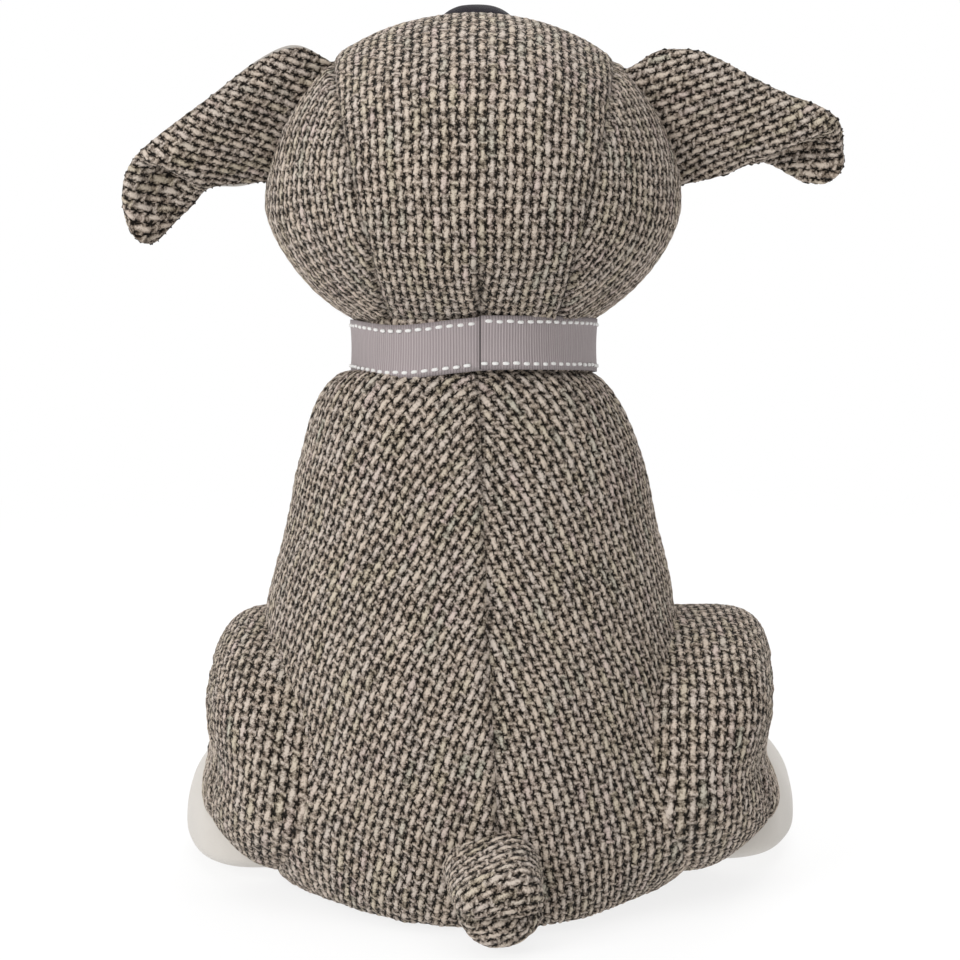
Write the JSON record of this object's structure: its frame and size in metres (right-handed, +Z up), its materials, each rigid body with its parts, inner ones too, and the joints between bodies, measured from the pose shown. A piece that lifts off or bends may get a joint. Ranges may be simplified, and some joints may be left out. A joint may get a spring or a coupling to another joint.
{
  "type": "plush dog",
  "caption": "Sitting plush dog in chunky tweed with cream feet, folded side ears, a stub tail, an upturned black nose and a ribbed ribbon collar.",
  "frame": {"origin": "centre of the flat base the dog sits on, on the floor under the neck", "axes": "+Z up, the dog faces -Y, its own left is +X"},
  "size_m": [0.216, 0.1957, 0.2588],
  "materials": {
    "tweed": "chunky woven tweed",
    "cream": "smooth brushed fabric",
    "ribbon": "ribbed grosgrain with white dashed stitching",
    "nose_fabric": "short black pile",
    "filling": "loose fibre",
    "bag_cotton": "plain cotton",
    "pellets": "loose pellets",
    "eye": "polished",
    "washer": "moulded"
  },
  "bodies": {
    "body": {"base_panel": "cream", "chest_panel": "tweed", "back_panel_left": "tweed", "back_panel_right": "tweed", "body_filling": "filling", "weight_bag": "bag_cotton", "weight_pellets": "pellets", "haunch_cover_left": "tweed", "haunch_filling_left": "filling", "hind_foot_cover_left": "cream", "hind_foot_filling_left": "filling", "haunch_cover_right": "tweed", "haunch_filling_right": "filling", "hind_foot_cover_right": "cream", "hind_foot_filling_right": "filling"},
    "neck": {"neck_filling": "filling", "collar_ribbon": "ribbon"},
    "head": {"head_filling": "filling", "head_side_panel_left": "tweed", "head_side_panel_right": "tweed", "head_back_panel": "tweed", "face_panel": "tweed", "muzzle_cover": "cream", "muzzle_filling": "filling", "nose_cover": "nose_fabric", "nose_filling": "filling", "eye_left": "eye", "eye_right": "eye", "eye_washer_left": "washer", "eye_washer_right": "washer"},
    "ear_left": {"ear_outer_left": "tweed", "ear_lining_left": "cream"},
    "ear_right": {"ear_outer_right": "tweed", "ear_lining_right": "cream"},
    "tail": {"tail_cover": "tweed", "tail_filling": "filling"},
    "front_leg_left": {"front_leg_cover_left": "tweed", "front_leg_filling_left": "filling", "front_paw_cover_left": "cream", "front_paw_filling_left": "filling"},
    "front_leg_right": {"front_leg_cover_right": "tweed", "front_leg_filling_right": "filling", "front_paw_cover_right": "cream", "front_paw_filling_right": "filling"}
  },
  "joints": [
    {"name": "head_turn", "type": "hinge", "parent": "body", "child": "neck", "pos_m": [0.004, 0, 0.16], "axis": [0, -0.1045, 0.9945], "range_deg": [-28, 28], "stiffness_Nm_per_rad": 0.6},
    {"name": "head_nod", "type": "hinge", "parent": "neck", "child": "head", "pos_m": [0.004, 0, 0.16], "axis": [1, 0, 0], "range_deg": [-10, 10], "stiffness_Nm_per_rad": 1.2},
    {"name": "ear_left_flap", "type": "hinge", "parent": "head", "child": "ear_left", "pos_m": [0.06254, -0.005, 0.22914], "axis": [0.4668, 0, -0.8844], "range_deg": [-40, 35], "stiffness_Nm_per_rad": 0.03},
    {"name": "ear_right_flap", "type": "hinge", "parent": "head", "child": "ear_right", "pos_m": [-0.05454, -0.005, 0.22914], "axis": [0.4668, 0, 0.8844], "range_deg": [-40, 35], "stiffness_Nm_per_rad": 0.03},
    {"name": "tail_wag", "type": "hinge", "parent": "body", "child": "tail", "pos_m": [-0.0015, 0.0695, 0.017], "axis": [0, 0, 1], "range_deg": [-25, 25], "stiffness_Nm_per_rad": 0.05},
    {"name": "front_leg_left_swing", "type": "hinge", "parent": "body", "child": "front_leg_left", "pos_m": [0.024, -0.052, 0.094], "axis": [-1, 0, 0], "range_deg": [0, 25], "stiffness_Nm_per_rad": 0.25},
    {"name": "front_leg_right_swing", "type": "hinge", "parent": "body", "child": "front_leg_right", "pos_m": [-0.024, -0.052, 0.094], "axis": [-1, 0, 0], "range_deg": [0, 25], "stiffness_Nm_per_rad": 0.25}
  ]
}
